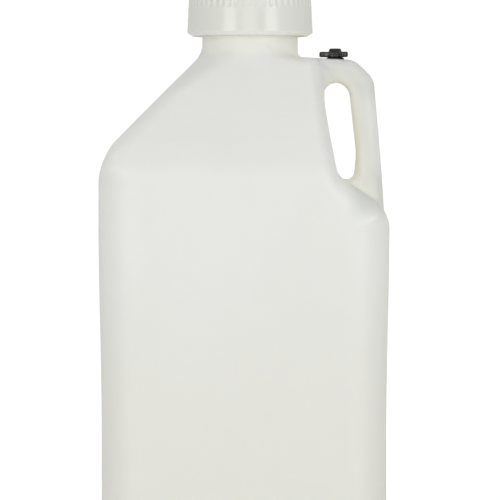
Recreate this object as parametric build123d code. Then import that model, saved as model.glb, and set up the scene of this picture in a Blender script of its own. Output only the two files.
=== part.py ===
"""Square utility jug of the five-gallon class: a blow-moulded shell with a hollow handle, a screw cap with
its gasket, and a screw vent on the handle. Millimetres, +Z up, origin at the middle of the base on the
floor, handle towards +X."""

import os
from math import hypot, radians, tan

from build123d import *

# Jug shell: body
WALL = 3.0
BASE_WIDTH = 235.6  # square section at the base
SHOULDER_WIDTH = 241.0  # and at the shoulder, so the sides lean out by half a degree
SHOULDER_Z = 344.3  # where the line of a side meets its slope
SLOPE_RUN = 0.96  # how far a slope runs inwards for each millimetre up, so it rises at 46 degrees
PEAK_Z = 437.9  # where the slopes end, inside the neck
SHOULDER_RADIUS = 48.0
CORNER_RADIUS = 26.0  # of the corners and hips away from the handle
BASE_RADIUS = 14.0

# Jug shell: hand recess, which leaves the handle standing between two cheeks and two ledges
CHEEK_TOP = (65.0, 430.0)
CHEEK_BEND = (66.4, 394.0)
CHEEK_FOOT = (75.0, 341.0)
LEDGE_START = (83.0, 327.0)
LEDGE_END_Z = 301.5
LEDGE_END_RADIUS, LEDGE_START_RADIUS = 18.0, 7.0
CHEEK_FOOT_RADIUS, CHEEK_BEND_RADIUS, CHEEK_TOP_RADIUS = 60.0, 90.0, 14.0
RECESS_EDGE_RADIUS = 17.0  # where cheeks, ledges and right-hand corners turn into the front and back
RECESS_EDGE_X, RECESS_EDGE_Y, RECESS_EDGE_Z = 60.0, 42.0, 10.0  # those edges lie beyond these

# Jug shell: neck and mouth
NECK_X = 5.0
NECK_RADIUS = 39.8
NECK_BORE_RADIUS = 36.8
NECK_FLARE_RADIUS = 49.0
NECK_FLARE_Z = 424.0
NECK_FLARE_TOP_Z = 436.0
FINISH_RADIUS = 44.6  # the threaded part of the neck, under the cap
FINISH_Z = 452.0
MOUTH_BORE_RADIUS = 40.6
MOUTH_BORE_Z = 457.0
MOUTH_Z = 489.0

# Jug shell: handle
HANDLE_HALF_DEPTH = 17.0
HANDLE_EDGE_RADIUS = 8.5
HANDLE_ROOT_X = 20.0  # inside the neck
HANDLE_TOP_Z = 431.9
HANDLE_BURIED_Z = 261.5  # the plate's lower end, inside the body
HANDLE_CREST = (93.0, 427.9)
HANDLE_HEEL = (108.6, 412.3)
HANDLE_FOOT = (117.2, 306.0)
HANDLE_CREST_RADIUS, HANDLE_HEEL_RADIUS, HANDLE_FOOT_RADIUS = 20.0, 12.0, 60.0
HAND_HOLE = [(56.0, 409.5), (88.1, 409.5), (94.4, 350.0), (92.3, 327.9), (56.0, 327.9)]
HAND_HOLE_RADII = [0, 9, 14, 7, 0]

# Jug shell: base, with a raised panel and a grip for the hand that tips the jug
FOOT_WIDTH = 30.0
PUSH_UP, PUSH_UP_CORNER = 4.0, 20.0
GRIP_X = 66.0
GRIP_WIDTH, GRIP_LENGTH, GRIP_DEPTH, GRIP_CORNER = 30.0, 96.0, 18.0, 12.0

# Closure
THREAD_LEAD = 6.35
THREAD_TURNS = 1.75
THREAD_START_Z = 462.0
THREAD_DROP = 2.4  # of the cap's thread below the neck's
THREAD_ROOT_WIDTH, THREAD_CREST_WIDTH = 3.0, 1.3
THREAD_SUNK = 0.3  # how far a rib's root lies inside the wall that carries it
NECK_THREAD_CREST = 47.0
CAP_THREAD_CREST = 45.1
CAP_BORE_RADIUS = 47.4
CAP_BOTTOM_Z = 448.2
CAP_TOP_Z = 494.7
CAP_RADIUS = 52.65
CAP_CHAMFER_WIDTH, CAP_CHAMFER_HEIGHT = 4.4, 2.7
CAP_DRAFT = 2.5  # degrees
CAP_PLATE = 3.2
CAP_EDGE = 1.6  # bevel round the top
DISH_RADIUS, DISH_DEPTH = 45.0, 1.0  # the shallow recess in the top
FLUTES = 54
FLUTE_BOTTOM_Z = 472.5
FLUTE_RADIUS, FLUTE_DEPTH = 2.4, 0.6
GASKET_INNER, GASKET_OUTER, GASKET_THICKNESS = 40.8, 46.2, 2.4

# Vent
VENT_X = 76.5
VENT_SEAT_Z = 428.2
VENT_LEAD = 2.0
VENT_TURNS = 3
VENT_THREAD_Z = 418.7  # start of the insert's thread; the screw's lies half a lead higher
VENT_ROOT_WIDTH, VENT_CREST_WIDTH, VENT_THREAD_SUNK = 1.0, 0.35, 0.2
VENT_BOSS_WALL, VENT_BOSS_HEIGHT = 0.9, 6.0  # thickened skin that the insert's flange seats on
VENT_SEAT_RADIUS = 9.5  # flat cut into the handle's top, open to front and back
INSERT_RADIUS, INSERT_LENGTH = 6.0, 12.0
FLANGE_RADIUS, FLANGE_THICKNESS = 7.6, 2.0
INSERT_BORE_RADIUS, INSERT_THREAD_CREST = 4.35, 3.65
SCREW_ROOT_RADIUS, SCREW_THREAD_CREST = 3.25, 4.0
SCREW_LENGTH = 12.6
HEAD_GAP = 0.4
HEAD_THICKNESS = 4.6
HEAD_EDGE = 0.6  # bevel round the arms, top and bottom
ARMS, FIRST_ARM_ANGLE = 3, 195.0
ARM_HALF_WIDTH, ARM_REACH = 3.5, 13.7
ARM_ROOT_RADIUS = 1.5
HUB_RADIUS, HUB_TOP_RADIUS, HUB_HEIGHT = 5.9, 4.8, 2.8
COLLAR_RADIUS, COLLAR_HEIGHT = 7.6, 2.4
RING_RADIUS, RING_SECTION_RADIUS = 5.6, 0.9
RING_CLEARANCE = 0.15  # each side of the ring in its groove

SEAT_GAP = 0.05  # between a seal and what it seals on


def side_x(height):
    """Half width between the sides at a height."""
    return BASE_WIDTH / 2 + (SHOULDER_WIDTH - BASE_WIDTH) / 2 * height / SHOULDER_Z


def slope_x(height):
    """Half width between the slopes at a height."""
    return SHOULDER_WIDTH / 2 - (height - SHOULDER_Z) * SLOPE_RUN


def outline_prism(points, corner_radii, plane, half_depth, inset=0.0):
    """A closed outline with rounded corners, drawn in by inset, and extruded both ways from its plane."""
    face = make_face(plane * FilletPolyline(*points, radius=corner_radii, close=True))
    if inset:
        face = offset(face, amount=-inset, kind=Kind.INTERSECTION)
    return extrude(face, amount=half_depth, both=True)


def body_form(inset=0.0):
    """The body without neck or handle, with its skin drawn in by inset."""
    base, shoulder = BASE_WIDTH / 2, SHOULDER_WIDTH / 2
    peak = slope_x(PEAK_Z)
    side_points = [
        (-base, 0),
        (base, 0),
        (side_x(LEDGE_END_Z), LEDGE_END_Z),
        LEDGE_START,
        CHEEK_FOOT,
        CHEEK_BEND,
        CHEEK_TOP,
        (NECK_X, HANDLE_TOP_Z),
        (-peak, PEAK_Z),
        (-shoulder, SHOULDER_Z),
    ]
    side_radii = [
        0,
        0,
        LEDGE_END_RADIUS,
        LEDGE_START_RADIUS,
        CHEEK_FOOT_RADIUS,
        CHEEK_BEND_RADIUS,
        CHEEK_TOP_RADIUS,
        0,
        0,
        SHOULDER_RADIUS,
    ]
    front_points = [
        (-base, 0),
        (base, 0),
        (shoulder, SHOULDER_Z),
        (peak, PEAK_Z),
        (-peak, PEAK_Z),
        (-shoulder, SHOULDER_Z),
    ]
    front_radii = [0, 0, SHOULDER_RADIUS, 0, 0, SHOULDER_RADIUS]
    side = outline_prism(side_points, side_radii, Plane.XZ, shoulder, inset)
    front = outline_prism(front_points, front_radii, Plane.YZ, shoulder, inset)
    form = side & front
    form = fillet(hip_edges(form), CORNER_RADIUS - inset)
    form = fillet(recess_edges(form), RECESS_EDGE_RADIUS - inset)
    return fillet(form.edges().group_by(Axis.Z)[0], BASE_RADIUS - inset)


def hip_edges(form):
    """The two left-hand corners and the hips above them, which stand where |x| = |y|."""
    middles = [(edge, edge.position_at(0.5)) for edge in form.edges()]
    return [edge for edge, at in middles if at.X < 0 and abs(at.X + abs(at.Y)) < 1]


def recess_edges(form):
    """The front and back edges of cheeks and ledges, and the right-hand corners below them."""
    chosen = []
    for edge in form.edges():
        at = edge.position_at(0.5)
        if at.X > RECESS_EDGE_X and abs(at.Y) > RECESS_EDGE_Y and at.Z > RECESS_EDGE_Z:
            chosen.append(edge)
    return chosen


def handle_form(inset=0.0):
    """The handle as a rounded plate with the finger hole cut through it."""
    outer_points = [
        (HANDLE_ROOT_X, HANDLE_TOP_Z),
        HANDLE_CREST,
        HANDLE_HEEL,
        HANDLE_FOOT,
        (HANDLE_FOOT[0], HANDLE_BURIED_Z),
        (HANDLE_ROOT_X, HANDLE_BURIED_Z),
    ]
    outer_radii = [0, HANDLE_CREST_RADIUS, HANDLE_HEEL_RADIUS, HANDLE_FOOT_RADIUS, 0, 0]
    half_depth = HANDLE_HALF_DEPTH - inset
    plate = outline_prism(outer_points, outer_radii, Plane.XZ, half_depth, inset)
    hole = outline_prism(HAND_HOLE, HAND_HOLE_RADII, Plane.XZ, 2 * half_depth, -inset)
    plate -= hole
    faces = plate.faces().sort_by(Axis.Y)
    return fillet(faces[0].edges() + faces[-1].edges(), HANDLE_EDGE_RADIUS - inset)


def cylinder_up(radius, low, high, x=NECK_X):
    """An upright cylinder between two heights."""
    return Pos(x, 0, low) * Cylinder(radius, high - low, align=(Align.CENTER, Align.CENTER, Align.MIN))


def cone_up(low_radius, high_radius, low, high, x=NECK_X):
    """An upright cone between two heights."""
    up = (Align.CENTER, Align.CENTER, Align.MIN)
    return Pos(x, 0, low) * Cone(low_radius, high_radius, high - low, align=up)


def revolved(points, x):
    """A solid of revolution about the upright axis at x, from a half outline in radius and height."""
    face = make_face(Plane.XZ * Polyline(*points, close=True))
    return Pos(x, 0, 0) * revolve(face, Axis.Z)


def thread(root, crest, start_z, turns, lead, root_width, crest_width, x):
    """A right-hand thread rib of trapezoid section; crest lies inside root for a female thread."""
    path = Helix(lead, turns * lead, root)
    half_root, half_crest = root_width / 2, crest_width / 2
    points = [(root, -half_root), (crest, -half_crest), (crest, half_crest), (root, half_root)]
    section = make_face(Plane.XZ * Polyline(*points, close=True))
    return Pos(x, 0, start_z) * sweep(section, path=path, is_frenet=True)


def closure_thread(root, crest, start_z):
    """The neck's rib, or the cap's when crest lies inside root."""
    widths = (THREAD_ROOT_WIDTH, THREAD_CREST_WIDTH)
    return thread(root, crest, start_z, THREAD_TURNS, THREAD_LEAD, *widths, NECK_X)


def vent_thread(root, crest, start_z):
    """The screw's rib, or the insert's when crest lies inside root."""
    return thread(root, crest, start_z, VENT_TURNS, VENT_LEAD, VENT_ROOT_WIDTH, VENT_CREST_WIDTH, VENT_X)


def jug_shell():
    outer = body_form() + handle_form()
    outer += cylinder_up(NECK_RADIUS, SHOULDER_Z, FINISH_Z)
    outer += cone_up(NECK_FLARE_RADIUS, NECK_RADIUS, NECK_FLARE_Z, NECK_FLARE_TOP_Z)
    outer += cylinder_up(FINISH_RADIUS, FINISH_Z, MOUTH_Z)
    outer += cylinder_up(FLANGE_RADIUS + VENT_BOSS_WALL, VENT_SEAT_Z - VENT_BOSS_HEIGHT, VENT_SEAT_Z, VENT_X)
    panel_width = BASE_WIDTH - 2 * FOOT_WIDTH
    outer -= extrude(RectangleRounded(panel_width, panel_width, PUSH_UP_CORNER), PUSH_UP)
    grip = Pos(GRIP_X, 0, 0) * RectangleRounded(GRIP_WIDTH, GRIP_LENGTH, GRIP_CORNER)
    outer -= extrude(grip, GRIP_DEPTH)

    inner = body_form(WALL) + handle_form(WALL)
    inner += cylinder_up(NECK_BORE_RADIUS, SHOULDER_Z, MOUTH_Z)
    inner += cone_up(NECK_BORE_RADIUS, MOUTH_BORE_RADIUS, FINISH_Z, MOUTH_BORE_Z)
    inner += cylinder_up(MOUTH_BORE_RADIUS, MOUTH_BORE_Z, MOUTH_Z)
    thick_panel = panel_width + 2 * WALL
    inner -= extrude(RectangleRounded(thick_panel, thick_panel, PUSH_UP_CORNER + WALL), PUSH_UP + WALL)
    thick_grip = RectangleRounded(GRIP_WIDTH + 2 * WALL, GRIP_LENGTH + 2 * WALL, GRIP_CORNER + WALL)
    inner -= extrude(Pos(GRIP_X, 0, 0) * thick_grip, GRIP_DEPTH + WALL)

    shell = outer - inner
    shell -= cylinder_up(INSERT_RADIUS, VENT_SEAT_Z - INSERT_LENGTH, VENT_SEAT_Z, VENT_X)
    shell -= cylinder_up(VENT_SEAT_RADIUS, VENT_SEAT_Z, NECK_FLARE_TOP_Z, VENT_X)
    shell += closure_thread(FINISH_RADIUS - THREAD_SUNK, NECK_THREAD_CREST, THREAD_START_Z)
    return shell


def cap_radius(height):
    """Outer radius of the cap at a height above its chamfer."""
    return CAP_RADIUS - (height - CAP_BOTTOM_Z - CAP_CHAMFER_HEIGHT) * tan(radians(CAP_DRAFT))


def filler_cap():
    plate_z = CAP_TOP_Z - CAP_PLATE
    cap = revolved(
        [
            (0, plate_z),
            (CAP_BORE_RADIUS, plate_z),
            (CAP_BORE_RADIUS, CAP_BOTTOM_Z),
            (CAP_RADIUS - CAP_CHAMFER_WIDTH, CAP_BOTTOM_Z),
            (CAP_RADIUS, CAP_BOTTOM_Z + CAP_CHAMFER_HEIGHT),
            (cap_radius(CAP_TOP_Z - CAP_EDGE), CAP_TOP_Z - CAP_EDGE),
            (cap_radius(CAP_TOP_Z) - CAP_EDGE, CAP_TOP_Z),
            (DISH_RADIUS, CAP_TOP_Z),
            (DISH_RADIUS - DISH_DEPTH, CAP_TOP_Z - DISH_DEPTH),
            (0, CAP_TOP_Z - DISH_DEPTH),
        ],
        NECK_X,
    )
    flute_height = 2 * (CAP_TOP_Z - FLUTE_BOTTOM_Z)  # runs out of the top
    flute = Cylinder(FLUTE_RADIUS, flute_height, align=(Align.CENTER, Align.CENTER, Align.MIN))
    flute += Sphere(FLUTE_RADIUS)
    reach = cap_radius(FLUTE_BOTTOM_Z) + FLUTE_RADIUS - FLUTE_DEPTH
    leaning = Pos(reach, 0, FLUTE_BOTTOM_Z) * Rot(0, -CAP_DRAFT, 0) * flute
    cap -= [Pos(NECK_X, 0, 0) * Rot(0, 0, 360 / FLUTES * i) * leaning for i in range(FLUTES)]
    cap += closure_thread(CAP_BORE_RADIUS + THREAD_SUNK, CAP_THREAD_CREST, THREAD_START_Z - THREAD_DROP)
    return cap


def cap_gasket():
    low = MOUTH_Z + SEAT_GAP
    high = low + GASKET_THICKNESS - 2 * SEAT_GAP
    return cylinder_up(GASKET_OUTER, low, high) - cylinder_up(GASKET_INNER, low, high)


def vent_insert():
    bottom = VENT_SEAT_Z - INSERT_LENGTH
    top = VENT_SEAT_Z + FLANGE_THICKNESS
    insert = cylinder_up(INSERT_RADIUS, bottom, top, VENT_X)
    insert += cylinder_up(FLANGE_RADIUS, VENT_SEAT_Z, top, VENT_X)
    insert -= cylinder_up(INSERT_BORE_RADIUS, bottom, top, VENT_X)
    insert += vent_thread(INSERT_BORE_RADIUS + VENT_THREAD_SUNK, INSERT_THREAD_CREST, VENT_THREAD_Z)
    return insert


def vent_o_ring():
    height = VENT_SEAT_Z + FLANGE_THICKNESS + RING_SECTION_RADIUS + SEAT_GAP
    return Pos(VENT_X, 0, height) * Torus(RING_RADIUS, RING_SECTION_RADIUS)


def head_arms():
    """The outline of the screw's three arms and hub, about its axis."""
    reach = ARM_REACH - ARM_HALF_WIDTH
    arm = Pos(reach / 2, 0) * Rectangle(reach, 2 * ARM_HALF_WIDTH)
    arm += Pos(reach, 0) * Circle(ARM_HALF_WIDTH)
    outline = Circle(HUB_RADIUS)
    for i in range(ARMS):
        outline += Rot(0, 0, FIRST_ARM_ANGLE + 360 / ARMS * i) * arm
    roots = [corner for corner in outline.vertices() if hypot(corner.X, corner.Y) < COLLAR_RADIUS]
    return fillet(roots, ARM_ROOT_RADIUS)


def vent_screw():
    low = VENT_SEAT_Z + FLANGE_THICKNESS + HEAD_GAP
    high = low + HEAD_THICKNESS
    head = Pos(VENT_X, 0, low) * extrude(head_arms(), HEAD_THICKNESS)
    levels = head.faces().sort_by(Axis.Z)
    head = chamfer(levels[0].edges() + levels[-1].edges(), HEAD_EDGE)
    head += cylinder_up(COLLAR_RADIUS, low, low + COLLAR_HEIGHT, VENT_X)
    head += cylinder_up(HUB_RADIUS, low, high, VENT_X)
    head += cone_up(HUB_RADIUS, HUB_TOP_RADIUS, high, high + HUB_HEIGHT, VENT_X)
    groove_top = VENT_SEAT_Z + FLANGE_THICKNESS + 2 * RING_SECTION_RADIUS + 2 * SEAT_GAP
    groove_half = RING_SECTION_RADIUS + RING_CLEARANCE
    groove = cylinder_up(RING_RADIUS + groove_half, low, groove_top, VENT_X)
    groove -= cylinder_up(RING_RADIUS - groove_half, low, groove_top, VENT_X)
    head -= groove
    head += cylinder_up(SCREW_ROOT_RADIUS, low - SCREW_LENGTH, low, VENT_X)
    start = VENT_THREAD_Z + VENT_LEAD / 2
    head += vent_thread(SCREW_ROOT_RADIUS - VENT_THREAD_SUNK, SCREW_THREAD_CREST, start)
    return head


def main():
    os.makedirs("parts", exist_ok=True)
    for make in (jug_shell, filler_cap, cap_gasket, vent_insert, vent_o_ring, vent_screw):
        piece = make()
        piece.label = make.__name__
        export_step(piece, f"parts/{make.__name__}.step")


main()
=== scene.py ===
"""A square jug of natural polyethylene with a ribbed cap and a black vent screw, in a white studio."""

import math

import bmesh
import bpy
import numpy as np
import openvdb
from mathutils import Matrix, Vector


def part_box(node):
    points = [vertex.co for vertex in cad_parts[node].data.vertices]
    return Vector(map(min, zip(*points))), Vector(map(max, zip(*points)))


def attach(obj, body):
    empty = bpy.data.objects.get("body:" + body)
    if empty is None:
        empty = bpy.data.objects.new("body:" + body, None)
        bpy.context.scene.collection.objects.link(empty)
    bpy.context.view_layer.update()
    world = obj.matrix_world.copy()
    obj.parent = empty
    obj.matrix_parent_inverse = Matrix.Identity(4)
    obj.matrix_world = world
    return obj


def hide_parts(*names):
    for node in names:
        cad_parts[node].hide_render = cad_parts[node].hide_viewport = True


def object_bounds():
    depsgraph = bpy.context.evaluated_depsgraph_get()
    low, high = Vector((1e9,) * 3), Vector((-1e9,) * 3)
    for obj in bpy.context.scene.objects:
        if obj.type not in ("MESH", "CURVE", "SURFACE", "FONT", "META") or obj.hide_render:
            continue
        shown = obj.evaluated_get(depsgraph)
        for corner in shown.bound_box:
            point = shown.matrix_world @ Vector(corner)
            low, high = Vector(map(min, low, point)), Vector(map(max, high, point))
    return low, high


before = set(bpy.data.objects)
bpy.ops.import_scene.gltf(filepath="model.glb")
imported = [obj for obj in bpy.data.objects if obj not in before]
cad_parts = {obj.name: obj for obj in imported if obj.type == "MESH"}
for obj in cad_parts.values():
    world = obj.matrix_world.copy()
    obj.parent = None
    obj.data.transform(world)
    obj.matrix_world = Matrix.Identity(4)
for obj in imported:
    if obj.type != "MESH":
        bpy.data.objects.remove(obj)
cad_low, cad_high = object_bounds()

MM = 0.001
shell_low, shell_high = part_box("jug_shell")
cap_low, cap_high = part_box("filler_cap")
vent_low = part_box("vent_screw")[0]
insert_low, insert_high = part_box("vent_insert")

# Body, in millimetres
WALL = 3.0
SHOULDER_HALF = 120.5
BASE_HALF = 117.8
BULGE_LOW, BULGE_HIGH = 115.0, 293.0  # the sides lean out between these heights
SHOULDER_Z = 344.6
SLOPE_RUN = 0.96  # how far the slopes run inwards for each millimetre up
SHOULDER_RADIUS = 14.2  # between a side and its slope
EDGE_RADIUS = 35.0  # of the upright edges
RECESS_EDGE_RADIUS, RECESS_EDGE_SPAN = 20.0, (270.0, 315.0)  # of the recess's edges, coming in here
HIP_RADIUS, HIP_SPAN = 12.5, (320.0, 370.0)  # of the edges between slopes, halfway up
HIP_TOP_RADIUS, HIP_TOP_SPAN = 24.5, (395.0, 430.0)  # of those edges at the top
FOOT_RADIUS = 15.0
PANEL_HALF, PANEL_HEIGHT, PANEL_CORNER = 87.5, 4.0, 20.0  # the base is raised here
GRIP_X, GRIP_HALF_WIDTH, GRIP_HALF_LENGTH = 66.0, 15.0, 48.0  # a tipping grip in the base
GRIP_HEIGHT, GRIP_CORNER = 18.0, 12.0
PANEL_EDGE_RADIUS, PANEL_INNER_RADIUS, GRIP_INNER_RADIUS = 2.5, 2.0, 5.0  # round the two, and inside each

# Recess and handle, in millimetres; points are (x, z)
CHEEK_TOP, CHEEK_BEND, CHEEK_KNEE, CHEEK_FOOT = (66.4, 420.0), (66.7, 394.0), (73.1, 352.8), (76.6, 336.0)
LEDGE_OUTER, LEDGE_INNER = (120.0, 301.5), (83.0, 327.0)
LEDGE_OUTER_RADIUS, LEDGE_INNER_RADIUS = 12.0, 3.5
BEND_RADIUS = 1.0  # at the shallow bends of the cheek and of the handle's back
TOP_Z = 431.9  # of the handle and the flat beside the neck, at TOP_X
TOP_X = 20.0
TOP_FALL = 0.050  # per millimetre towards +X
FLAT_DROP = 0.8  # how far the flat lies below the handle's top
FLAT_RADIUS, FLAT_OUTER_RADIUS = 4.0, 7.0  # of its edges, by the neck and further out
HANDLE_HALF_DEPTH = 17.5
HANDLE_EDGE_RADIUS = 9.3
HANDLE_BACK_TOP, HANDLE_BACK_FOOT, HANDLE_HEEL = (108.5, 413.4), (115.6, 331.8), (117.3, 300.0)
FACET_SUM = 520.9  # x plus z on the facet at the handle's top corner
FACET_TOP_RADIUS, FACET_LOW_RADIUS = 4.0, 3.6
HANDLE_LOW_Z = 290.0  # the handle runs this far down inside the body
HOLE_TOP_Z, HOLE_LOW_Z = 409.5, 327.9
HOLE_TOP, HOLE_BEND, HOLE_TOE = (88.1, 406.0), (94.4, 350.0), (92.3, HOLE_LOW_Z)
HOLE_LEFT_X = 60.0  # inside the body
HOLE_TOP_RADIUS, HOLE_LOW_RADIUS, HOLE_BEND_RADIUS = 11.0, 6.5, 1.2
FOOT_BLEND, SIDE_BLEND, TOP_BLEND = 3.5, 11.0, 1.0  # of the handle into the body, going up
SIDE_BLEND_SPAN, TOP_BLEND_SPAN = (335.0, 395.0), (416.0, 426.0)  # heights between which they change

# Neck and closure, in millimetres
NECK_X = (cap_low.x + cap_high.x) / 2 / MM
NECK_RADIUS = 39.8
NECK_ROOT_RADIUS = 5.2  # of the round at its foot, at the sides
NECK_ROOT_GAIN, NECK_ROOT_LOSS = 5.0, 0.7  # more in front and behind, less towards the handle
BORE_RADIUS = NECK_RADIUS - WALL
FINISH_RADIUS, FINISH_EDGE_RADIUS = 44.6, 1.5  # the wider part that carries the thread
FINISH_Z = 452.0
MOUTH_RADIUS = 40.5
MOUTH_Z = shell_high.z / MM
CLOSURE_THREAD = (1.75, 6.35, (3.0, 1.3))  # turns, lead, and widths at root and crest
THREAD_SUNK = 0.3  # how far a rib's root lies inside the wall that carries it
NECK_THREAD_CREST, NECK_THREAD_Z = 47.0, 462.0
CAP_THREAD_CREST, CAP_THREAD_Z = 45.1, 459.6
CAP_BORE_RADIUS = 47.4
CAP_PLATE = 3.2
CAP_DRAFT = math.radians(2.5)
CAP_CHAMFER_WIDTH, CAP_CHAMFER_HEIGHT = 4.4, 2.7
CAP_RIM_WIDTH, CAP_DISH = 5.5, 1.0
FLUTES = 54
FLUTE_DEPTH = 0.5
FLUTE_LOW_Z = 471.5

# Vent, in millimetres
FLANGE_THICKNESS = 2.0
VENT_X = (insert_low.x + insert_high.x) / 2 / MM
VENT_SEAT_Z = insert_high.z / MM - FLANGE_THICKNESS
VENT_SEAT_RADIUS = 9.5
BUSHING_RADIUS, BUSHING_BORE_RADIUS, BUSHING_THREAD_CREST = 6.0, 4.35, 3.65
BUSHING_GAP, BUSHING_HOLE_DEPTH = 0.1, 8.0  # of the hole for it in the handle
VENT_THREAD = (3, 2.0, (1.0, 0.35))
VENT_THREAD_SUNK = 0.2
SHANK_RADIUS, VENT_THREAD_CREST, SHANK_LENGTH = 3.25, 4.0, 13.6
HEAD_LOW, HEAD_HIGH, HEAD_EDGE_RADIUS = 12.6, 17.2, 1.3  # heights above the screw's lowest point
ARMS, FIRST_ARM_ANGLE, ARM_LENGTH, ARM_HALF_WIDTH, ARM_BLEND = 3, 195, 10.2, 3.5, 2.0
HUB_RADIUS, HUB_HEIGHT, HUB_LEAN, HUB_EDGE_RADIUS, HUB_BLEND = 5.9, 2.8, 0.3, 0.7, 0.8
DIMPLE_RADIUS, DIMPLE_LEAN, DIMPLE_DEPTH = 2.0, 0.8, 1.2  # in the hub's top
COLLAR_RADIUS, COLLAR_HEIGHT, COLLAR_EDGE_RADIUS = 7.6, 2.4, 0.5
RING_RADIUS, RING_HALF_WIDTH, RING_HEIGHT = 5.6, 1.05, 1.5  # the O-ring's groove

# Studio, in metres and watts; a rise is above the object's middle
VIEW_HEIGHT, VIEW_DISTANCE, SEEN_WIDTH = 0.2688, 6.0, 0.420
BACKDROP, SURROUND = 1.05, 0.66  # strengths of the white that the camera sees and of the white that lights
AIM_RISE = 0.1  # of the point that the lights face
SOFTBOX_POWER, SOFTBOX_DISTANCE, SOFTBOX_RISE, SOFTBOX_WIDTH, SOFTBOX_HEIGHT = 6.9, 2.2, 0.30, 0.85, 0.9
SOFTBOXES = (("softbox_left", -37, 1.0), ("softbox_right", 40, 1.1))  # name, degrees, share of the power
FILL_POWER, FILL_DISTANCE, FILL_RISE, FILL_SIZE = 50.0, 6.6, 1.9, 3.2
FLOOR_RADIUS, FLOOR_DROP = 1.2, 0.0005


def round_union(a, b, r):
    """Union of two distance fields with a concave round of radius r where they cross squarely."""
    corner = np.hypot(np.maximum(r - a, 0), np.maximum(r - b, 0))
    return np.maximum(r, np.minimum(a, b)) - corner


def round_intersection(a, b, r):
    """Intersection of two distance fields with a convex round of radius r where they cross squarely."""
    corner = np.hypot(np.maximum(r + a, 0), np.maximum(r + b, 0))
    return np.minimum(-r, np.maximum(a, b)) + corner


def half_plane(x, z, start, end):
    """Distance in front of the line from start to end, positive on its left."""
    dx, dz = end[0] - start[0], end[1] - start[1]
    length = math.hypot(dx, dz)
    return ((z - start[1]) * dx - (x - start[0]) * dz) / length


def ramp(value, start, end):
    """Goes smoothly from 0, where value is start, to 1, where it is end."""
    share = np.clip((value - start) / (end - start), 0, 1)
    return share * share * (3 - 2 * share)


def side_half(z):
    """Half width of the body between its sides at a height."""
    return BASE_HALF + (SHOULDER_HALF - BASE_HALF) * ramp(z, BULGE_LOW, BULGE_HIGH)


def sloped_side(across, z):
    """One side of the body with the slope above it."""
    side = across - side_half(z)
    slope = (across - SHOULDER_HALF + (z - SHOULDER_Z) * SLOPE_RUN) / math.hypot(1, SLOPE_RUN)
    return round_intersection(side, slope, SHOULDER_RADIUS)


def top_plane(x, z):
    """Distance above the slanting plane of the handle's top."""
    return z - (TOP_Z - TOP_FALL * (x - TOP_X))


def cheek(x, z):
    """The end of the body beside the handle: it leans, and bends outwards below CHEEK_BEND."""
    painted_slope_light = half_plane(x, z, CHEEK_BEND, CHEEK_TOP)
    lower = half_plane(x, z, CHEEK_KNEE, CHEEK_BEND)
    foot = half_plane(x, z, CHEEK_FOOT, CHEEK_KNEE)
    return round_union(round_union(-painted_slope_light, -lower, BEND_RADIUS), -foot, BEND_RADIUS)


def recess_profile(x, z):
    """The body's outline at the handle's side: cheek, ledge and right-hand side."""
    ledge = -half_plane(x, z, LEDGE_OUTER, LEDGE_INNER)
    outline = round_union(cheek(x, z), ledge, LEDGE_INNER_RADIUS)
    return round_intersection(outline, x - side_half(z), LEDGE_OUTER_RADIUS)


def body_field(x, y, z):
    """The body without neck or handle."""
    front = sloped_side(np.abs(y), z)
    left = sloped_side(-x, z)
    edge_radius = EDGE_RADIUS + (RECESS_EDGE_RADIUS - EDGE_RADIUS) * ramp(z, *RECESS_EDGE_SPAN)
    body = round_intersection(front, recess_profile(x, z), edge_radius)
    hip_radius = EDGE_RADIUS + (HIP_RADIUS - EDGE_RADIUS) * ramp(z, *HIP_SPAN)
    hip_radius = hip_radius + (HIP_TOP_RADIUS - HIP_RADIUS) * ramp(z, *HIP_TOP_SPAN)
    body = round_intersection(body, left, hip_radius)
    flat_radius = FLAT_RADIUS + (FLAT_OUTER_RADIUS - FLAT_RADIUS) * ramp(x, NECK_X + 20.0, NECK_X + 50.0)
    lifted_clear = 50.0 * ramp(x, NECK_X + 22.0, NECK_X - 8.0)  # no flat to the left of the neck
    body = round_intersection(body, top_plane(x, z) + FLAT_DROP - lifted_clear, flat_radius)
    return round_intersection(body, -z, FOOT_RADIUS)


def handle_field(x, y, z):
    """The handle: a plate with rounded edges, and the finger hole through it."""
    facet = (x + z - FACET_SUM) / math.sqrt(2)
    back = half_plane(x, z, HANDLE_BACK_TOP, HANDLE_BACK_FOOT)
    heel = half_plane(x, z, HANDLE_BACK_FOOT, HANDLE_HEEL)
    outline = round_intersection(back, heel, BEND_RADIUS)
    outline = round_intersection(facet, outline, FACET_LOW_RADIUS)
    outline = round_intersection(top_plane(x, z), outline, FACET_TOP_RADIUS)
    hole_right = half_plane(x, z, HOLE_BEND, HOLE_TOP)
    hole_toe = half_plane(x, z, HOLE_TOE, HOLE_BEND)
    hole = round_intersection(-hole_right, -hole_toe, HOLE_BEND_RADIUS)
    hole = round_intersection(hole, z - HOLE_TOP_Z, HOLE_TOP_RADIUS)
    hole = round_intersection(hole, HOLE_LOW_Z - z, HOLE_LOW_RADIUS)
    hole = np.maximum(hole, HOLE_LEFT_X - x)
    plate = np.maximum(np.maximum(outline, -hole), HANDLE_LOW_Z - z)
    plate = np.maximum(plate, TOP_X - x)
    return round_intersection(plate, np.abs(y) - HANDLE_HALF_DEPTH, HANDLE_EDGE_RADIUS)


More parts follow.
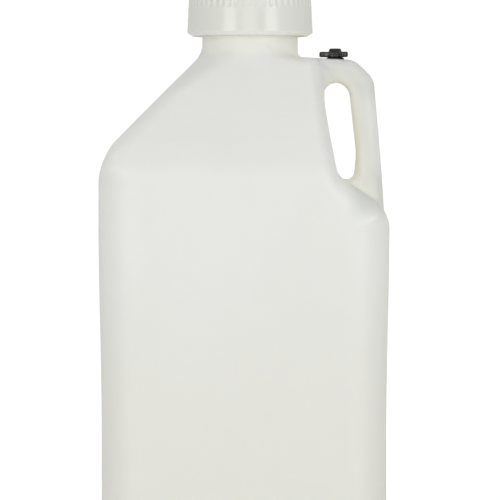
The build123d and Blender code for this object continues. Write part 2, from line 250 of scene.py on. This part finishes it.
def skin_field(x, y, z):
    """The blow-moulded skin below the neck's finish."""
    blend = FOOT_BLEND + (SIDE_BLEND - FOOT_BLEND) * ramp(z, *SIDE_BLEND_SPAN)
    blend = blend + (TOP_BLEND - SIDE_BLEND) * ramp(z, *TOP_BLEND_SPAN)
    skin = round_union(body_field(x, y, z), handle_field(x, y, z), blend)
    around = np.hypot(x - NECK_X, y)
    neck = np.maximum(around - NECK_RADIUS, SHOULDER_Z - z)
    facing = (y / np.maximum(around, 1.0)) ** 2  # 1 in front and behind, 0 at the sides
    root_loss = NECK_ROOT_LOSS * ramp(x, NECK_X + 20.0, NECK_X + 40.0)
    root_radius = NECK_ROOT_RADIUS + NECK_ROOT_GAIN * facing - root_loss
    return round_union(skin, neck, root_radius)


def jug_field(x, y, z):
    """The shell: skin less hollow, with the neck's finish, the vent's seat and hole, and the base's panel."""
    around = np.hypot(x - NECK_X, y)
    skin = skin_field(x, y, z)
    widening = ramp(z, FINISH_Z, FINISH_Z + 6.0)
    bore_radius = BORE_RADIUS + (MOUTH_RADIUS - BORE_RADIUS) * widening
    hollow = np.where(z > FINISH_Z - 20, around - bore_radius, skin + WALL)
    outer = round_intersection(skin, z - FINISH_Z - 4, 1.0)
    finish = round_intersection(around - FINISH_RADIUS, FINISH_Z - z, FINISH_EDGE_RADIUS)
    outer = np.minimum(outer, round_intersection(finish, z - MOUTH_Z, FINISH_EDGE_RADIUS))
    around_vent = np.hypot(x - VENT_X, y)
    seat = np.maximum(around_vent - VENT_SEAT_RADIUS, VENT_SEAT_Z - z)
    outer = round_intersection(outer, -seat, 0.4)
    panel = base_panel(x, y, z)
    outer = round_intersection(outer, -panel, PANEL_EDGE_RADIUS)
    hollow = np.maximum(hollow, WALL - panel)
    bushing_hole_z = VENT_SEAT_Z - BUSHING_HOLE_DEPTH
    bushing_hole = np.maximum(around_vent - BUSHING_RADIUS - BUSHING_GAP, bushing_hole_z - z)
    return np.maximum(np.maximum(outer, -hollow), -bushing_hole)


def rounded_square(x, y, half_x, half_y, radius):
    """Distance from a rectangle with rounded corners."""
    qx, qy = np.abs(x) - half_x + radius, np.abs(y) - half_y + radius
    outside = np.hypot(np.maximum(qx, 0), np.maximum(qy, 0))
    return outside + np.minimum(np.maximum(qx, qy), 0) - radius


def base_panel(x, y, z):
    """The space that the raised panel and the tipping grip leave under the base."""
    panel = rounded_square(x, y, PANEL_HALF, PANEL_HALF, PANEL_CORNER)
    panel = round_intersection(panel, z - PANEL_HEIGHT, PANEL_INNER_RADIUS)
    grip = rounded_square(x - GRIP_X, y, GRIP_HALF_WIDTH, GRIP_HALF_LENGTH, GRIP_CORNER)
    grip = round_intersection(grip, z - GRIP_HEIGHT, GRIP_INNER_RADIUS)
    return np.minimum(panel, grip)


def field_mesh(field, low, high, step):
    """Points and quads on a field's zero surface, with each point moved onto it. All in millimetres."""
    axes = [np.arange(a, b + step, step, dtype=np.float32) for a, b in zip(low, high)]
    x, y, z = axes[0][:, None, None], axes[1][None, :, None], axes[2][None, None, :]
    values = field(x, y, z).astype(np.float32)
    band = 3 * step
    grid = openvdb.FloatGrid(band)
    grid.copyFromArray(np.clip(values, -band, band))
    points, quads = grid.convertToQuads(0.0)
    points = points.astype(float) * step + np.array(low)
    return settle(field, points), quads


def gradient(field, points, reach=0.05):
    """The field's gradient at points."""
    slope = np.zeros_like(points)
    for axis in range(3):
        ahead, behind = points.copy(), points.copy()
        ahead[:, axis] += reach
        behind[:, axis] -= reach
        slope[:, axis] = (field(*ahead.T) - field(*behind.T)) / (2 * reach)
    return slope


def settle(field, points):
    """Moves points onto the field's zero surface."""
    for _ in range(4):
        slope = gradient(field, points)
        steepness = np.maximum((slope**2).sum(1), 0.25)
        points = points - slope * (field(*points.T) / steepness)[:, None]
    return points


def mesh_object(name, points, faces):
    """A smooth-shaded mesh from points in millimetres."""
    mesh = bpy.data.meshes.new(name)
    mesh.from_pydata((np.asarray(points) * MM).tolist(), [], [list(map(int, f)) for f in faces])
    mesh.validate()
    mesh.shade_smooth()
    piece = bpy.data.objects.new(name, mesh)
    bpy.context.scene.collection.objects.link(piece)
    return piece


def rounded_outline(points, radii, steps=5):
    """An open outline whose inner corners are replaced by arcs of the given radii."""
    corners = [Vector(p) for p in points]
    outline = [corners[0]]
    for before, at, after, radius in zip(corners, corners[1:], corners[2:], radii):
        to_before, to_after = (before - at).normalized(), (after - at).normalized()
        half_angle = to_before.angle(to_after) / 2
        centre = at + (to_before + to_after).normalized() * radius / math.sin(half_angle)
        reach = radius / math.tan(half_angle)
        start, end = at + to_before * reach - centre, at + to_after * reach - centre
        for i in range(steps + 1):
            outline.append(centre + start.lerp(end, i / steps).normalized() * radius)
    return outline + [corners[-1]]


def lathe(name, outline, columns, axis_x, swell=None):
    """A turned piece from an outline of (radius, height); swell(angle, height, radius) adds to the radius."""
    angles = np.arange(columns) * 2 * math.pi / columns
    radius = np.array([p[0] for p in outline])[:, None]
    height = np.array([p[1] for p in outline])[:, None]
    radius = np.broadcast_to(radius, (len(outline), columns))
    if swell:
        radius = radius + swell(angles[None, :], height, radius)
    points = np.stack(
        [axis_x + radius * np.cos(angles), radius * np.sin(angles), np.broadcast_to(height, radius.shape)], -1
    )
    faces = []
    for row in range(len(outline) - 1):
        for column in range(columns):
            beside = (column + 1) % columns
            low, high = row * columns, (row + 1) * columns
            faces.append((low + column, low + beside, high + beside, high + column))
    piece = mesh_object(name, points.reshape(-1, 3), faces)
    tidy_mesh(piece)
    return piece


def tidy_mesh(piece):
    """Merges doubled points and turns faces outwards."""
    work = bmesh.new()
    work.from_mesh(piece.data)
    bmesh.ops.remove_doubles(work, verts=work.verts, dist=0.002 * MM)
    bmesh.ops.recalc_face_normals(work, faces=work.faces)
    work.to_mesh(piece.data)
    work.free()
    piece.data.shade_smooth()


def thread_rib(name, root, crest, start_z, thread, axis_x):
    """A right-hand thread rib with tapered ends, on a root radius and from a starting height."""
    turns, lead, widths = thread
    steps_a_turn, taper_steps = 96, 8
    steps = int(turns * steps_a_turn)
    half_root, half_crest = widths[0] / 2, widths[1] / 2
    points, faces = [], []
    for i in range(steps + 1):
        angle = 2 * math.pi * turns * i / steps
        rise = start_z + lead * turns * i / steps
        ending = min(i, steps - i) / taper_steps
        top = root + (crest - root) * min(1.0, max(0.05, ending))
        for radius, drop in ((root, -half_root), (top, -half_crest), (top, half_crest), (root, half_root)):
            points.append((axis_x + radius * math.cos(angle), radius * math.sin(angle), rise + drop))
    for i in range(steps):
        for j in range(4):
            near, far = 4 * i, 4 * (i + 1)
            faces.append((near + j, near + (j + 1) % 4, far + (j + 1) % 4, far + j))
    faces.append((0, 1, 2, 3))
    faces.append(tuple(4 * steps + j for j in (3, 2, 1, 0)))
    piece = mesh_object(name, points, faces)
    tidy_mesh(piece)
    return piece


def join(main, *others):
    """Joins meshes into main."""
    work = bmesh.new()
    for piece in (main, *others):
        work.from_mesh(piece.data)
    work.to_mesh(main.data)
    work.free()
    for piece in others:
        bpy.data.objects.remove(piece)
    main.data.shade_smooth()


def add_seam(piece):
    """Raises the mould's parting line, a fine ridge on the skin all round the plane of the handle."""
    ridge_height, ridge_half_width, cut_reach = 0.3, 0.8, 3.0
    work = bmesh.new()
    work.from_mesh(piece.data)
    for offset in (-ridge_half_width, 0.0, ridge_half_width):
        near = [f for f in work.faces if abs(f.calc_center_median().y / MM - offset) < cut_reach]
        edges = {e for f in near for e in f.edges}
        verts = {v for f in near for v in f.verts}
        bmesh.ops.bisect_plane(
            work,
            geom=[*verts, *edges, *near],
            dist=0.02 * MM,
            plane_co=(0, offset * MM, 0),
            plane_no=(0, 1, 0),
            use_snap_center=True,
        )
    bmesh.ops.dissolve_degenerate(work, dist=0.01 * MM, edges=work.edges[:])
    ridge = [v for v in work.verts if abs(v.co.y) < 0.03 * MM]
    places = np.array([v.co for v in ridge]) / MM
    slopes = gradient(skin_field, places)
    on_skin = (np.abs(skin_field(*places.T)) < 0.1) & (places[:, 2] > 0.5) & (places[:, 2] < FINISH_Z)
    for vert, slope, outside in zip(ridge, slopes, on_skin):
        if outside:
            vert.co += Vector(slope).normalized() * ridge_height * MM
    work.to_mesh(piece.data)
    work.free()
    piece.data.shade_smooth()


def jug():
    """The shell with its parting line and the neck's thread."""
    margin = 4.0
    low = (shell_low.x / MM - margin, shell_low.y / MM - margin, shell_low.z / MM - margin)
    high = (shell_high.x / MM + margin, shell_high.y / MM + margin, shell_high.z / MM + margin)
    step = 1.8
    points, quads = field_mesh(jug_field, low, high, step)
    piece = mesh_object("jug_body", points, quads)
    add_seam(piece)
    root = FINISH_RADIUS - THREAD_SUNK
    rib = thread_rib("neck_thread", root, NECK_THREAD_CREST, NECK_THREAD_Z, CLOSURE_THREAD, NECK_X)
    join(piece, rib)
    piece.data.materials.append(jug_plastic())
    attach(piece, "jug")
    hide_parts("jug_shell")


def cap():
    """The cap: a smooth skirt below, 54 flutes above, and a shallow dished top."""
    bottom, top = cap_low.z / MM, cap_high.z / MM
    rim_radius = (cap_high.x - cap_low.x) / 2 / MM
    top_radius = rim_radius - (top - bottom) * math.tan(CAP_DRAFT)
    ceiling = top - CAP_PLATE
    rim_inner = top_radius - CAP_RIM_WIDTH
    outline = rounded_outline(
        [
            (0, ceiling),
            (CAP_BORE_RADIUS, ceiling),
            (CAP_BORE_RADIUS, bottom),
            (rim_radius - CAP_CHAMFER_WIDTH, bottom),
            (rim_radius, bottom + CAP_CHAMFER_HEIGHT),
            (top_radius, top),
            (rim_inner, top),
            (rim_inner - CAP_DISH, top - CAP_DISH),
            (0, top - CAP_DISH),
        ],
        [0.8, 0.3, 0.4, 0.8, 1.8, 0.5, 0.5],
    )
    dense = []
    for here, there in zip(outline, outline[1:]):
        pieces_between = max(1, round((there - here).length / 1.2))
        if min(here.x, there.x) < CAP_BORE_RADIUS + 0.1:
            pieces_between = 1
        dense += [here.lerp(there, i / pieces_between) for i in range(pieces_between)]
    dense.append(outline[-1])

    def flutes(angle, height, radius):
        """Change of radius: 0 on the ribs and elsewhere, down to -FLUTE_DEPTH in the grooves."""
        place = np.abs((angle * FLUTES / (2 * math.pi)) % 1 - 0.5)
        groove = ramp(place, 0.38, 0.14)
        above_end = ramp(height, FLUTE_LOW_Z, FLUTE_LOW_Z + 1.2)
        outside = ramp(radius, top_radius - 3.2, top_radius - 2.0)
        return -FLUTE_DEPTH * groove * above_end * outside

    piece = lathe("cap", dense, FLUTES * 14, NECK_X, flutes)
    root = CAP_BORE_RADIUS + THREAD_SUNK
    rib = thread_rib("cap_thread", root, CAP_THREAD_CREST, CAP_THREAD_Z, CLOSURE_THREAD, NECK_X)
    join(piece, rib)
    piece.data.materials.append(cap_plastic())
    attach(piece, "cap")
    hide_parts("filler_cap")


def vent_field(x, y, z):
    """The vent's three-armed head, hub and shank, in millimetres about its own axis and lowest point."""
    around = np.hypot(x, y)
    head = around - HUB_RADIUS
    for i in range(ARMS):
        angle = math.radians(FIRST_ARM_ANGLE + 360 / ARMS * i)
        along = x * math.cos(angle) + y * math.sin(angle)
        aside = y * math.cos(angle) - x * math.sin(angle)
        past_ends = np.maximum(np.abs(along - ARM_LENGTH / 2) - ARM_LENGTH / 2, 0)
        head = round_union(head, np.hypot(past_ends, aside) - ARM_HALF_WIDTH, ARM_BLEND)
    slab = np.abs(z - (HEAD_LOW + HEAD_HIGH) / 2) - (HEAD_HIGH - HEAD_LOW) / 2
    head = round_intersection(head, slab, HEAD_EDGE_RADIUS)
    collar_half = COLLAR_HEIGHT / 2
    slab = np.abs(z - HEAD_LOW - collar_half) - collar_half
    head = np.minimum(head, round_intersection(around - COLLAR_RADIUS, slab, COLLAR_EDGE_RADIUS))
    hub_high = HEAD_HIGH + HUB_HEIGHT
    hub_side = around - HUB_RADIUS + HUB_LEAN * np.maximum(z - HEAD_HIGH + 1.0, 0)
    hub = round_intersection(hub_side, z - hub_high, HUB_EDGE_RADIUS)
    hub = round_intersection(hub, HEAD_LOW + 1 - z, 0.2)
    head = round_union(head, hub, HUB_BLEND)
    dimple_side = around - DIMPLE_RADIUS + DIMPLE_LEAN * (hub_high - z)
    dimple = np.maximum(dimple_side, hub_high - DIMPLE_DEPTH - z)
    head = round_intersection(head, -dimple, 0.3)
    ring = np.maximum(np.abs(around - RING_RADIUS) - RING_HALF_WIDTH, z - HEAD_LOW - RING_HEIGHT)
    head = np.maximum(head, -ring)
    shank = np.maximum(around - SHANK_RADIUS, np.abs(z - SHANK_LENGTH / 2) - SHANK_LENGTH / 2)
    return np.minimum(head, shank)


def vent():
    """The vent screw, its bushing and the screw's thread."""
    points, quads = field_mesh(vent_field, (-15, -15, -1.5), (15, 15, 22), 0.35)
    points += np.array([VENT_X, 0, vent_low.z / MM])
    screw = mesh_object("vent_thumb_screw", points, quads)
    root, start_z = SHANK_RADIUS - VENT_THREAD_SUNK, vent_low.z / MM + 1.7
    rib = thread_rib("vent_thread", root, VENT_THREAD_CREST, start_z, VENT_THREAD, VENT_X)
    join(screw, rib)
    screw.data.materials.append(vent_plastic())
    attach(screw, "vent")
    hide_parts("vent_screw")

    low, high = insert_low.z / MM, insert_high.z / MM
    flange_radius = (insert_high.x - insert_low.x) / 2 / MM
    outline = rounded_outline(
        [
            (BUSHING_BORE_RADIUS, low),
            (BUSHING_RADIUS, low),
            (BUSHING_RADIUS, VENT_SEAT_Z),
            (flange_radius, VENT_SEAT_Z),
            (flange_radius, high),
            (BUSHING_BORE_RADIUS, high),
        ],
        [0.4, 0.2, 0.4, 0.7],
    )
    bushing = lathe("vent_bushing", outline + [outline[0]], 64, VENT_X)
    root, start_z = BUSHING_BORE_RADIUS + VENT_THREAD_SUNK, low + 2.5
    rib = thread_rib("bushing_thread", root, BUSHING_THREAD_CREST, start_z, VENT_THREAD, VENT_X)
    join(bushing, rib)
    bushing.data.materials.append(bushing_plastic())
    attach(bushing, "jug")
    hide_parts("vent_insert")


class Nodes:
    """A material's node tree, with short ways to add and join nodes."""

    def __init__(self, name):
        self.material = bpy.data.materials.new(name)
        self.material.use_nodes = True
        self.tree = self.material.node_tree
        self.shader = self.tree.nodes["Principled BSDF"]
        self.place = self.add("ShaderNodeTexCoord").outputs["Object"]

    def add(self, kind, **values):
        node = self.tree.nodes.new(kind)
        for key, value in values.items():
            setattr(node, key, value)
        return node

    def link(self, output, socket):
        self.tree.links.new(output, socket)

    def noise(self, scale, detail=2.0, roughness=0.5, stretch=(1, 1, 1)):
        """Noise over the object's place, with scale per metre."""
        mapping = self.add("ShaderNodeMapping")
        mapping.inputs["Scale"].default_value = stretch
        self.link(self.place, mapping.inputs["Vector"])
        texture = self.add("ShaderNodeTexNoise")
        texture.inputs["Scale"].default_value = scale
        texture.inputs["Detail"].default_value = detail
        texture.inputs["Roughness"].default_value = roughness
        self.link(mapping.outputs["Vector"], texture.inputs["Vector"])
        return texture.outputs["Fac"]

    def spread(self, value, from_low, from_high, to_low=0.0, to_high=1.0):
        """Maps a value from one range to another, clamped."""
        node = self.add("ShaderNodeMapRange", interpolation_type="SMOOTHSTEP")
        for socket, number in zip(
            ("From Min", "From Max", "To Min", "To Max"), (from_low, from_high, to_low, to_high)
        ):
            node.inputs[socket].default_value = number
        self.link(value, node.inputs["Value"])
        return node.outputs["Result"]

    def mix(self, share, first, second):
        """Mixes two colours, each an output or an (r, g, b)."""
        node = self.add("ShaderNodeMix", data_type="RGBA")
        self.link(share, node.inputs["Factor"])
        for socket, colour in ((node.inputs[6], first), (node.inputs[7], second)):
            if isinstance(colour, tuple):
                socket.default_value = (*colour, 1)
            else:
                self.link(colour, socket)
        return node.outputs[2]

    def height(self):
        """The place's height in metres."""
        node = self.add("ShaderNodeSeparateXYZ")
        self.link(self.place, node.inputs["Vector"])
        return node.outputs["Z"]

    def lean(self, rise):
        """How far the place lies towards the handle, X plus rise for each metre up, in metres."""
        node = self.add("ShaderNodeVectorMath", operation="DOT_PRODUCT")
        self.link(self.place, node.inputs[0])
        node.inputs[1].default_value = (1, 0, rise)
        return node.outputs["Value"]

    def hidden(self, distance, clearest, darkest):
        """How closely other surfaces within a distance shut the place in: 0 at clearest, 1 at darkest."""
        node = self.add("ShaderNodeAmbientOcclusion", samples=8)
        node.inputs["Distance"].default_value = distance
        return self.spread(node.outputs["AO"], clearest, darkest)

    def product(self, first, second):
        node = self.add("ShaderNodeMath", operation="MULTIPLY")
        self.link(first, node.inputs[0])
        self.link(second, node.inputs[1])
        return node.outputs["Value"]

    def bump(self, value, distance, strength=1.0, under=None):
        node = self.add("ShaderNodeBump")
        node.inputs["Distance"].default_value = distance
        node.inputs["Strength"].default_value = strength
        self.link(value, node.inputs["Height"])
        if under:
            self.link(under, node.inputs["Normal"])
        return node.outputs["Normal"]


def jug_plastic():
    """Natural polyethylene: milky and faintly mottled, with a few specks; painted shade makes it darker and
    warmer low down and on the handle, painted light makes the slopes lighter and the hollows lighter and
    warmer.
    """
    n = Nodes("natural_polyethylene")
    clear, low_shade_and_mottle, painted_hollow_light = (0.835, 0.84, 0.78), (0.79, 0.785, 0.71), (1.0, 0.985, 0.86)
    painted_handle_shade, painted_dim_tone, painted_slope_light = (0.67, 0.68, 0.64), (0.785, 0.79, 0.74), (0.86, 0.865, 0.805)
    speck = (0.30, 0.27, 0.22)
    high = n.height()
    # Painted shade: darker and warmer towards the bottom, below 0.30 m.
    colour = n.mix(n.spread(high, 0.30, 0.04), clear, low_shade_and_mottle)
    # Painted light: the slopes, from about 0.335 m up, lighter.
    colour = n.mix(n.spread(high, 0.335, 0.365), colour, painted_slope_light)
    # Painted shade: the handle darker, most at its top and foot, less along the grasp between them.
    grasp = n.product(n.spread(high, 0.325, 0.345), n.spread(high, 0.405, 0.385))
    handle_shade_mask = n.product(n.spread(n.lean(0.2), 0.142, 0.160), n.spread(high, 0.288, 0.306))
    colour = n.mix(handle_shade_mask, colour, n.mix(grasp, painted_handle_shade, painted_dim_tone))
    # The neck, from about 0.425 m up, takes the same dim tone.
    colour = n.mix(n.spread(high, 0.425, 0.445, 0.0, 0.95), colour, painted_dim_tone)
    mottle = n.spread(n.noise(9.0, 3.0, 0.55, (1, 1, 0.5)), 0.35, 0.7, 0.0, 0.35)
    colour = n.mix(mottle, colour, low_shade_and_mottle)
    # Painted light: lighter and warmer where nearby surfaces shut the skin in, in place of light passing
    # through the plastic.
    colour = n.mix(n.hidden(0.05, 0.95, 0.42), colour, painted_hollow_light)
    cells = n.add("ShaderNodeTexVoronoi", feature="F1")
    cells.inputs["Scale"].default_value = 26.0
    n.link(n.place, cells.inputs["Vector"])
    grain = n.spread(cells.outputs["Distance"], 0.032, 0.018)
    chosen = n.add("ShaderNodeSeparateColor")
    n.link(cells.outputs["Color"], chosen.inputs["Color"])
    rare = n.spread(chosen.outputs["Red"], 0.90, 0.93, 0.0, 0.55)
    colour = n.mix(n.product(grain, rare), colour, speck)
    n.link(colour, n.shader.inputs["Base Color"])
    n.link(n.spread(n.noise(35.0, 3.0), 0.3, 0.7, 0.40, 0.50), n.shader.inputs["Roughness"])
    slow = n.bump(n.noise(14.0, 1.0), 0.0012, 0.35)
    fine = n.bump(n.noise(900.0, 2.0, 0.6), 0.00004, 0.6, slow)
    n.link(fine, n.shader.inputs["Normal"])
    n.shader.inputs["IOR"].default_value = 1.5
    n.shader.inputs["Subsurface Weight"].default_value = 0.5
    n.shader.inputs["Subsurface Radius"].default_value = (1.0, 0.95, 0.75)
    n.shader.inputs["Subsurface Scale"].default_value = 0.007
    return n.material


def cap_plastic():
    """White polyethylene, cleaner and glossier than the jug's, with painted light in its hollows and on its
    bottom chamfer.
    """
    n = Nodes("white_polyethylene")
    white, cloud = (0.73, 0.735, 0.685), (0.71, 0.715, 0.66)
    painted_hollow_light, painted_chamfer_light = (0.93, 0.93, 0.84), (0.86, 0.86, 0.84)
    mottle = n.spread(n.noise(22.0, 3.0), 0.35, 0.7, 0.0, 0.5)
    colour = n.mix(mottle, white, cloud)
    # Painted light: lighter and warmer where nearby surfaces shut the cap in, in place of light passing
    # through it.
    colour = n.mix(n.hidden(0.03, 0.95, 0.5), colour, painted_hollow_light)
    # Painted light: the downward-facing bottom chamfer, below about 0.45 m, lighter.
    colour = n.mix(n.spread(n.height(), 0.4515, 0.4500), colour, painted_chamfer_light)
    n.link(colour, n.shader.inputs["Base Color"])
    n.link(n.spread(n.noise(60.0, 2.0), 0.3, 0.7, 0.16, 0.22), n.shader.inputs["Roughness"])
    slow = n.bump(n.noise(30.0, 1.0), 0.0006, 0.3)
    n.link(n.bump(n.noise(1200.0, 2.0), 0.00003, 0.5, slow), n.shader.inputs["Normal"])
    n.shader.inputs["IOR"].default_value = 1.5
    n.shader.inputs["Subsurface Weight"].default_value = 0.4
    n.shader.inputs["Subsurface Radius"].default_value = (1.0, 0.97, 0.85)
    n.shader.inputs["Subsurface Scale"].default_value = 0.004
    return n.material


def black_plastic(name, low_roughness, high_roughness):
    """Black moulded plastic with faint dust and scuffs."""
    n = Nodes(name)
    dust = n.spread(n.noise(260.0, 4.0, 0.6), 0.6, 0.85, 0.0, 0.4)
    n.link(n.mix(dust, (0.006, 0.006, 0.0065), (0.04, 0.04, 0.04)), n.shader.inputs["Base Color"])
    scuffs = n.noise(500.0, 3.0, 0.6)
    n.link(n.spread(scuffs, 0.3, 0.7, low_roughness, high_roughness), n.shader.inputs["Roughness"])
    n.link(n.bump(n.noise(1500.0, 2.0), 0.00003, 0.5), n.shader.inputs["Normal"])
    return n.material


def vent_plastic():
    return black_plastic("black_gloss_plastic", 0.10, 0.18)


def bushing_plastic():
    return black_plastic("black_satin_plastic", 0.28, 0.42)


def seal_rubber():
    """Black sealing rubber, matt with a faint bloom."""
    n = Nodes("seal_rubber")
    bloom = n.spread(n.noise(180.0, 3.0), 0.45, 0.75, 0.0, 0.6)
    n.link(n.mix(bloom, (0.02, 0.02, 0.02), (0.06, 0.06, 0.058)), n.shader.inputs["Base Color"])
    n.link(n.spread(n.noise(400.0), 0.3, 0.7, 0.55, 0.75), n.shader.inputs["Roughness"])
    n.link(n.bump(n.noise(2200.0, 2.0), 0.00004, 0.6), n.shader.inputs["Normal"])
    return n.material


def seals():
    """The cap's gasket and the vent's O-ring keep their CAD meshes and get the rubber."""
    rubber = seal_rubber()
    for name in ("cap_gasket", "vent_o_ring"):
        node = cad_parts[name]
        node.data.materials.clear()
        node.data.materials.append(rubber)


def area_light(name, place, target, width, height, power):
    """A rectangular light that faces a target."""
    data = bpy.data.lights.new(name, "AREA")
    data.shape, data.size, data.size_y, data.energy = "RECTANGLE", width, height, power
    light = bpy.data.objects.new(name, data)
    light.location = place
    light.rotation_euler = (Vector(target) - Vector(place)).to_track_quat("-Z", "Y").to_euler()
    bpy.context.scene.collection.objects.link(light)


def studio():
    """White surround, pale floor, a soft box on either side, and a large fill above and behind the camera."""
    scene = bpy.context.scene
    world = bpy.data.worlds.new("studio")
    scene.world = world
    world.use_nodes = True
    tree = world.node_tree
    tree.nodes.clear()
    out = tree.nodes.new("ShaderNodeOutputWorld")
    seen, lighting = tree.nodes.new("ShaderNodeBackground"), tree.nodes.new("ShaderNodeBackground")
    seen.inputs["Color"].default_value = (1, 1, 1, 1)
    seen.inputs["Strength"].default_value = BACKDROP
    lighting.inputs["Color"].default_value = (1, 1, 1, 1)
    lighting.inputs["Strength"].default_value = SURROUND
    path, mix = tree.nodes.new("ShaderNodeLightPath"), tree.nodes.new("ShaderNodeMixShader")
    tree.links.new(path.outputs["Is Camera Ray"], mix.inputs["Fac"])
    tree.links.new(lighting.outputs["Background"], mix.inputs[1])
    tree.links.new(seen.outputs["Background"], mix.inputs[2])
    tree.links.new(mix.outputs["Shader"], out.inputs["Surface"])

    middle = ((cad_low + cad_high) / 2).z
    target = (0, 0, middle + AIM_RISE)
    for name, turn, share in SOFTBOXES:
        angle = math.radians(turn)
        aside, ahead = SOFTBOX_DISTANCE * math.sin(angle), SOFTBOX_DISTANCE * math.cos(angle)
        place = (aside, -ahead, middle + SOFTBOX_RISE)
        area_light(name, place, target, SOFTBOX_WIDTH, SOFTBOX_HEIGHT, share * SOFTBOX_POWER)
    place = (0, -FILL_DISTANCE, middle + FILL_RISE)
    area_light("front_fill", place, target, FILL_SIZE, FILL_SIZE, FILL_POWER)

    under = (0, 0, -FLOOR_DROP)
    bpy.ops.mesh.primitive_circle_add(vertices=96, radius=FLOOR_RADIUS, fill_type="NGON", location=under)
    floor = bpy.context.object
    floor.name = "floor"
    n = Nodes("studio_floor")
    n.shader.inputs["Base Color"].default_value = (0.86, 0.86, 0.86, 1)
    n.shader.inputs["Roughness"].default_value = 0.7
    floor.data.materials.append(n.material)


def camera():
    """A long lens, level, near half the object's height; the cap's top and the jug's base are out of view."""
    data = bpy.data.cameras.new("camera")
    data.sensor_width = 36.0
    data.lens = data.sensor_width * VIEW_DISTANCE / SEEN_WIDTH
    data.clip_start, data.clip_end = 0.1, 100.0
    view = bpy.data.objects.new("camera", data)
    view.location = (NECK_X * MM, -VIEW_DISTANCE, VIEW_HEIGHT)
    view.rotation_euler = (math.radians(90), 0, 0)
    bpy.context.scene.collection.objects.link(view)
    bpy.context.scene.camera = view


def main():
    jug()
    cap()
    vent()
    seals()
    studio()
    camera()
    bpy.context.scene.view_settings.view_transform = "Standard"


main()
